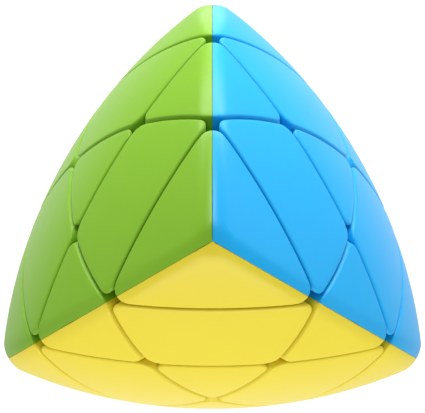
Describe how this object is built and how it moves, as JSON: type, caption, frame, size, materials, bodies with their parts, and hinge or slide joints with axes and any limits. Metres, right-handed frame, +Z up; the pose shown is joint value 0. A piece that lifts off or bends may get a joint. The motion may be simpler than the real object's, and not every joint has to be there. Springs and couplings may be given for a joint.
{
  "type": "pyramid twisty puzzle",
  "caption": "Bulged pyramid-shaped twisty puzzle: coloured plastic pieces on a six-armed core turn in layers about six axes.",
  "frame": {"origin": "where the turning axes cross, in the middle of the core, which is the centroid of the puzzle", "axes": "+Z up through the top tip, with the red face down; +Y towards the rear tip; +X to the right, towards the right tip"},
  "size_m": [0.077, 0.0746, 0.0726],
  "materials": {
    "green_plastic": "satin moulded ABS, bright apple green",
    "blue_plastic": "satin moulded ABS, sky blue",
    "yellow_plastic": "satin moulded ABS, lemon yellow",
    "red_plastic": "satin moulded ABS, red",
    "inner_plastic": "moulded plastic, dark grey",
    "core_plastic": "moulded nylon, dark grey",
    "steel": "plated steel wire and screws"
  },
  "bodies": {
    "core": {"core": "core_plastic", "screws": "steel", "springs": "steel", "washers": "steel"},
    "green_blue_centre": {"green_blue_centre_hub": "inner_plastic", "green_blue_centre_green_cover": "green_plastic", "green_blue_centre_blue_cover": "blue_plastic"},
    "green_yellow_centre": {"green_yellow_centre_hub": "inner_plastic", "green_yellow_centre_green_cover": "green_plastic", "green_yellow_centre_yellow_cover": "yellow_plastic"},
    "blue_yellow_centre": {"blue_yellow_centre_hub": "inner_plastic", "blue_yellow_centre_blue_cover": "blue_plastic", "blue_yellow_centre_yellow_cover": "yellow_plastic"},
    "yellow_red_centre": {"yellow_red_centre_hub": "inner_plastic", "yellow_red_centre_yellow_cover": "yellow_plastic", "yellow_red_centre_red_cover": "red_plastic"},
    "blue_red_centre": {"blue_red_centre_hub": "inner_plastic", "blue_red_centre_blue_cover": "blue_plastic", "blue_red_centre_red_cover": "red_plastic"},
    "green_red_centre": {"green_red_centre_hub": "inner_plastic", "green_red_centre_green_cover": "green_plastic", "green_red_centre_red_cover": "red_plastic"},
    "green_edge_top": {"green_edge_top": "green_plastic"},
    "green_edge_rear": {"green_edge_rear": "green_plastic"},
    "green_edge_left": {"green_edge_left": "green_plastic"},
    "blue_edge_top": {"blue_edge_top": "blue_plastic"},
    "blue_edge_rear": {"blue_edge_rear": "blue_plastic"},
    "blue_edge_right": {"blue_edge_right": "blue_plastic"},
    "yellow_edge_top": {"yellow_edge_top": "yellow_plastic"},
    "yellow_edge_left": {"yellow_edge_left": "yellow_plastic"},
    "yellow_edge_right": {"yellow_edge_right": "yellow_plastic"},
    "red_edge_rear": {"red_edge_rear": "red_plastic"},
    "red_edge_left": {"red_edge_left": "red_plastic"},
    "red_edge_right": {"red_edge_right": "red_plastic"},
    "top_tip": {"top_tip_foot": "inner_plastic", "top_tip_green_cover": "green_plastic", "top_tip_blue_cover": "blue_plastic", "top_tip_yellow_cover": "yellow_plastic"},
    "rear_tip": {"rear_tip_foot": "inner_plastic", "rear_tip_green_cover": "green_plastic", "rear_tip_blue_cover": "blue_plastic", "rear_tip_red_cover": "red_plastic"},
    "left_tip": {"left_tip_foot": "inner_plastic", "left_tip_green_cover": "green_plastic", "left_tip_yellow_cover": "yellow_plastic", "left_tip_red_cover": "red_plastic"},
    "right_tip": {"right_tip_foot": "inner_plastic", "right_tip_blue_cover": "blue_plastic", "right_tip_yellow_cover": "yellow_plastic", "right_tip_red_cover": "red_plastic"},
    "green_corner": {"green_corner_foot": "green_plastic", "green_corner_cap": "green_plastic"},
    "blue_corner": {"blue_corner_foot": "blue_plastic", "blue_corner_cap": "blue_plastic"},
    "yellow_corner": {"yellow_corner_foot": "yellow_plastic", "yellow_corner_cap": "yellow_plastic"},
    "red_corner": {"red_corner_foot": "red_plastic", "red_corner_cap": "red_plastic"}
  },
  "joints": [
    {"name": "green_blue_layer_turn", "type": "hinge", "parent": "core", "child": "green_blue_centre", "pos_m": [0, 0, 0], "axis": [0, 0.8165, 0.5774], "continuous": true},
    {"name": "green_yellow_layer_turn", "type": "hinge", "parent": "core", "child": "green_yellow_centre", "pos_m": [0, 0, 0], "axis": [-0.7071, -0.4082, 0.5774], "continuous": true},
    {"name": "blue_yellow_layer_turn", "type": "hinge", "parent": "core", "child": "blue_yellow_centre", "pos_m": [0, 0, 0], "axis": [0.7071, -0.4082, 0.5774], "continuous": true},
    {"name": "yellow_red_layer_turn", "type": "hinge", "parent": "core", "child": "yellow_red_centre", "pos_m": [0, 0, 0], "axis": [0, -0.8165, -0.5774], "continuous": true},
    {"name": "blue_red_layer_turn", "type": "hinge", "parent": "core", "child": "blue_red_centre", "pos_m": [0, 0, 0], "axis": [0.7071, 0.4082, -0.5774], "continuous": true},
    {"name": "green_red_layer_turn", "type": "hinge", "parent": "core", "child": "green_red_centre", "pos_m": [0, 0, 0], "axis": [-0.7071, 0.4082, -0.5774], "continuous": true},
    {"name": "green_edge_top_turn", "type": "hinge", "parent": "green_yellow_centre", "child": "green_edge_top", "pos_m": [0, 0, 0], "axis": [0, 0.8165, 0.5774], "continuous": true},
    {"name": "green_edge_rear_turn", "type": "hinge", "parent": "green_red_centre", "child": "green_edge_rear", "pos_m": [0, 0, 0], "axis": [0, 0.8165, 0.5774], "continuous": true},
    {"name": "green_edge_left_turn", "type": "hinge", "parent": "green_yellow_centre", "child": "green_edge_left", "pos_m": [0, 0, 0], "axis": [-0.7071, 0.4082, -0.5774], "continuous": true},
    {"name": "blue_edge_top_turn", "type": "hinge", "parent": "blue_yellow_centre", "child": "blue_edge_top", "pos_m": [0, 0, 0], "axis": [0, 0.8165, 0.5774], "continuous": true},
    {"name": "blue_edge_rear_turn", "type": "hinge", "parent": "blue_red_centre", "child": "blue_edge_rear", "pos_m": [0, 0, 0], "axis": [0, 0.8165, 0.5774], "continuous": true},
    {"name": "blue_edge_right_turn", "type": "hinge", "parent": "blue_red_centre", "child": "blue_edge_right", "pos_m": [0, 0, 0], "axis": [0.7071, -0.4082, 0.5774], "continuous": true},
    {"name": "yellow_edge_top_turn", "type": "hinge", "parent": "blue_yellow_centre", "child": "yellow_edge_top", "pos_m": [0, 0, 0], "axis": [-0.7071, -0.4082, 0.5774], "continuous": true},
    {"name": "yellow_edge_left_turn", "type": "hinge", "parent": "yellow_red_centre", "child": "yellow_edge_left", "pos_m": [0, 0, 0], "axis": [-0.7071, -0.4082, 0.5774], "continuous": true},
    {"name": "yellow_edge_right_turn", "type": "hinge", "parent": "yellow_red_centre", "child": "yellow_edge_right", "pos_m": [0, 0, 0], "axis": [0.7071, -0.4082, 0.5774], "continuous": true},
    {"name": "red_edge_rear_turn", "type": "hinge", "parent": "green_red_centre", "child": "red_edge_rear", "pos_m": [0, 0, 0], "axis": [0.7071, 0.4082, -0.5774], "continuous": true},
    {"name": "red_edge_left_turn", "type": "hinge", "parent": "yellow_red_centre", "child": "red_edge_left", "pos_m": [0, 0, 0], "axis": [-0.7071, 0.4082, -0.5774], "continuous": true},
    {"name": "red_edge_right_turn", "type": "hinge", "parent": "yellow_red_centre", "child": "red_edge_right", "pos_m": [0, 0, 0], "axis": [0.7071, 0.4082, -0.5774], "continuous": true},
    {"name": "top_tip_turn", "type": "hinge", "parent": "yellow_edge_top", "child": "top_tip", "pos_m": [0, 0, 0], "axis": [0, 0.8165, 0.5774], "continuous": true},
    {"name": "rear_tip_turn", "type": "hinge", "parent": "red_edge_rear", "child": "rear_tip", "pos_m": [0, 0, 0], "axis": [0, 0.8165, 0.5774], "continuous": true},
    {"name": "left_tip_turn", "type": "hinge", "parent": "green_edge_left", "child": "left_tip", "pos_m": [0, 0, 0], "axis": [0, -0.8165, -0.5774], "continuous": true},
    {"name": "right_tip_turn", "type": "hinge", "parent": "blue_edge_right", "child": "right_tip", "pos_m": [0, 0, 0], "axis": [0, -0.8165, -0.5774], "continuous": true},
    {"name": "green_corner_turn", "type": "hinge", "parent": "green_edge_left", "child": "green_corner", "pos_m": [0, 0, 0], "axis": [0, 0.8165, 0.5774], "continuous": true},
    {"name": "blue_corner_turn", "type": "hinge", "parent": "blue_edge_right", "child": "blue_corner", "pos_m": [0, 0, 0], "axis": [0, 0.8165, 0.5774], "continuous": true},
    {"name": "yellow_corner_turn", "type": "hinge", "parent": "yellow_edge_top", "child": "yellow_corner", "pos_m": [0, 0, 0], "axis": [0, -0.8165, -0.5774], "continuous": true},
    {"name": "red_corner_turn", "type": "hinge", "parent": "red_edge_rear", "child": "red_corner", "pos_m": [0, 0, 0], "axis": [0, -0.8165, -0.5774], "continuous": true}
  ],
  "couplings": [
    {"joint": "green_edge_top_turn", "follows": "green_blue_layer_turn", "ratio": 1},
    {"joint": "green_edge_rear_turn", "follows": "green_blue_layer_turn", "ratio": 1},
    {"joint": "green_edge_left_turn", "follows": "green_red_layer_turn", "ratio": 1},
    {"joint": "blue_edge_top_turn", "follows": "green_blue_layer_turn", "ratio": 1},
    {"joint": "blue_edge_rear_turn", "follows": "green_blue_layer_turn", "ratio": 1},
    {"joint": "blue_edge_right_turn", "follows": "blue_yellow_layer_turn", "ratio": 1},
    {"joint": "yellow_edge_top_turn", "follows": "green_yellow_layer_turn", "ratio": 1},
    {"joint": "yellow_edge_left_turn", "follows": "green_yellow_layer_turn", "ratio": 1},
    {"joint": "yellow_edge_right_turn", "follows": "blue_yellow_layer_turn", "ratio": 1},
    {"joint": "red_edge_rear_turn", "follows": "blue_red_layer_turn", "ratio": 1},
    {"joint": "red_edge_left_turn", "follows": "green_red_layer_turn", "ratio": 1},
    {"joint": "red_edge_right_turn", "follows": "blue_red_layer_turn", "ratio": 1},
    {"joint": "top_tip_turn", "follows": "green_blue_layer_turn", "ratio": 1},
    {"joint": "rear_tip_turn", "follows": "green_blue_layer_turn", "ratio": 1},
    {"joint": "left_tip_turn", "follows": "yellow_red_layer_turn", "ratio": 1},
    {"joint": "right_tip_turn", "follows": "yellow_red_layer_turn", "ratio": 1},
    {"joint": "green_corner_turn", "follows": "green_blue_layer_turn", "ratio": 1},
    {"joint": "blue_corner_turn", "follows": "green_blue_layer_turn", "ratio": 1},
    {"joint": "yellow_corner_turn", "follows": "yellow_red_layer_turn", "ratio": 1},
    {"joint": "red_corner_turn", "follows": "yellow_red_layer_turn", "ratio": 1}
  ]
}
